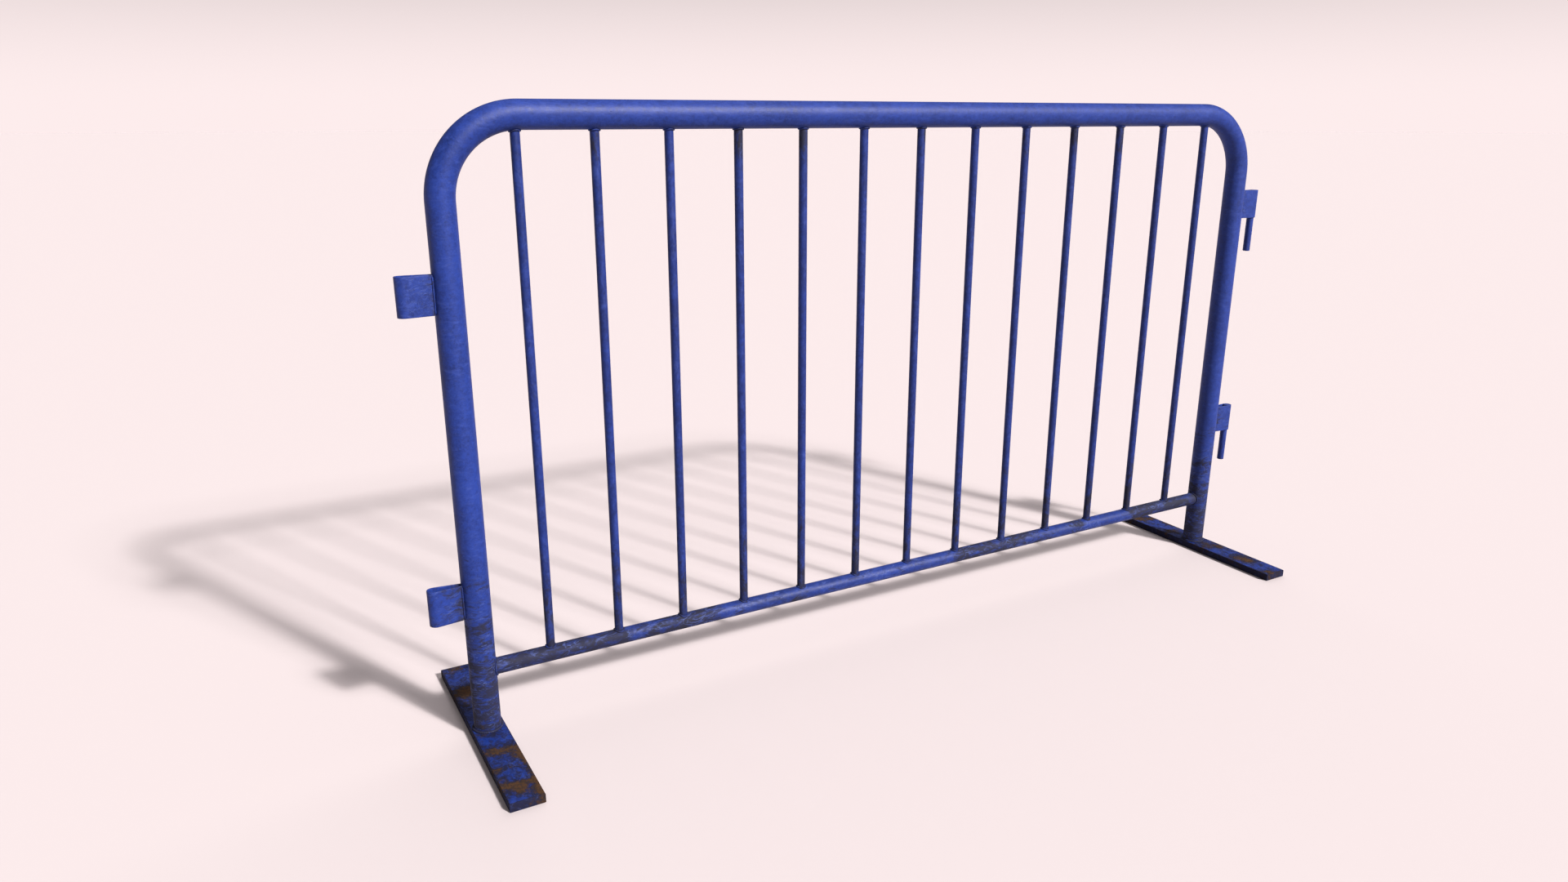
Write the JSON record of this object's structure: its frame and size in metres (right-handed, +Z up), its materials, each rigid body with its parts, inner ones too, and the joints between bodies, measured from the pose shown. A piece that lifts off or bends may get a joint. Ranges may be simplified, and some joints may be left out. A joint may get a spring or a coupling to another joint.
{
  "type": "crowd control barrier",
  "caption": "Free-standing steel barrier: bent tube frame filled with thin round bars, on two flat feet, with hook pins at one end and eyes at the other.",
  "frame": {"origin": "on the ground, halfway between the two uprights", "axes": "+Z up, +X along the barrier from the eyes to the hook pins, +Y across it, along the feet"},
  "size_m": [2.0025, 0.5, 1.1],
  "materials": {
    "frame_paint": "satin blue paint, lightly mottled and scuffed",
    "rail_paint": "satin blue paint, worn and grimy",
    "bar_paint": "satin blue paint",
    "foot_paint": "blue paint with brown rust patches and dark edges",
    "strap_paint": "satin blue paint, grimy beside the upright",
    "pin_paint": "satin blue paint, rubbed where it slides",
    "weld_paint": "blue paint over a rippled weld bead"
  },
  "bodies": {
    "root": {"frame_tube": "frame_paint", "bottom_rail": "rail_paint", "bar_01": "bar_paint", "bar_02": "bar_paint", "bar_03": "bar_paint", "bar_04": "bar_paint", "bar_05": "bar_paint", "bar_06": "bar_paint", "bar_07": "bar_paint", "bar_08": "bar_paint", "bar_09": "bar_paint", "bar_10": "bar_paint", "bar_11": "bar_paint", "bar_12": "bar_paint", "bar_13": "bar_paint", "foot_left": "foot_paint", "foot_right": "foot_paint", "eye_strap_lower": "strap_paint", "eye_strap_upper": "strap_paint", "hook_strap_lower": "strap_paint", "hook_strap_upper": "strap_paint", "hook_pin_lower": "pin_paint", "hook_pin_upper": "pin_paint", "bar_top_welds": "weld_paint", "bar_bottom_welds": "weld_paint", "rail_welds": "weld_paint", "strap_welds": "weld_paint", "foot_welds": "weld_paint"}
  },
  "joints": []
}
